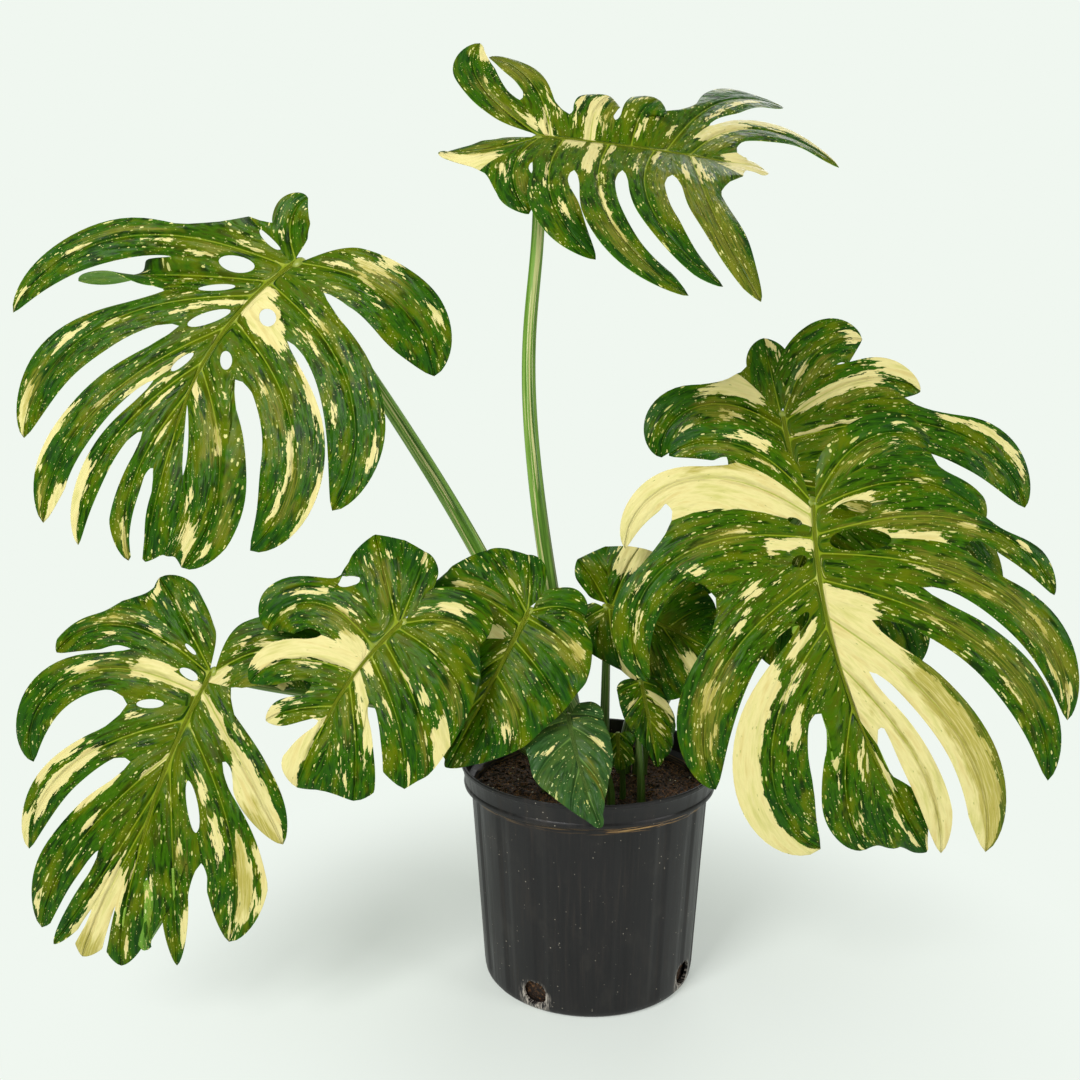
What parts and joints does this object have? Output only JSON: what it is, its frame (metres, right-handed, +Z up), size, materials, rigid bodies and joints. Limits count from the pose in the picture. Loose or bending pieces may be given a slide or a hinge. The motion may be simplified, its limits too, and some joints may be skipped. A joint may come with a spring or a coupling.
{
  "type": "potted monstera plant",
  "caption": "Variegated monstera with large split leaves on long arching stalks, standing in a filled black nursery pot.",
  "frame": {"origin": "centre of the pot's flat base, on the surface it stands on", "axes": "+Z up along the pot's axis, -Y towards the front that the leaves face, +X to the viewer's right"},
  "size_m": [1.1007, 0.4568, 1.0029],
  "materials": {
    "pot": "black moulded plastic, satin",
    "soil": "dark bark and peat potting mix with white grains",
    "leaf": "waxy green leaf with cream flecks and patches",
    "stalk": "smooth light green stalk with pale stripes"
  },
  "bodies": {
    "root": {"pot": "pot", "soil": "soil", "leaf_upper_left": "leaf", "leaf_upper_middle": "leaf", "leaf_right_front": "leaf", "leaf_right_back": "leaf", "leaf_lower_left": "leaf", "leaf_middle_left": "leaf", "leaf_middle": "leaf", "leaf_middle_right": "leaf", "leaf_small_front": "leaf", "leaf_small_right": "leaf", "leaf_small_inner": "leaf", "stalk_upper_left": "stalk", "stalk_upper_middle": "stalk", "stalk_right_front": "stalk", "stalk_right_back": "stalk", "stalk_lower_left": "stalk", "stalk_middle_left": "stalk", "stalk_middle": "stalk", "stalk_middle_right": "stalk", "stalk_small_front": "stalk", "stalk_small_right": "stalk", "stalk_small_inner": "stalk"}
  },
  "joints": []
}
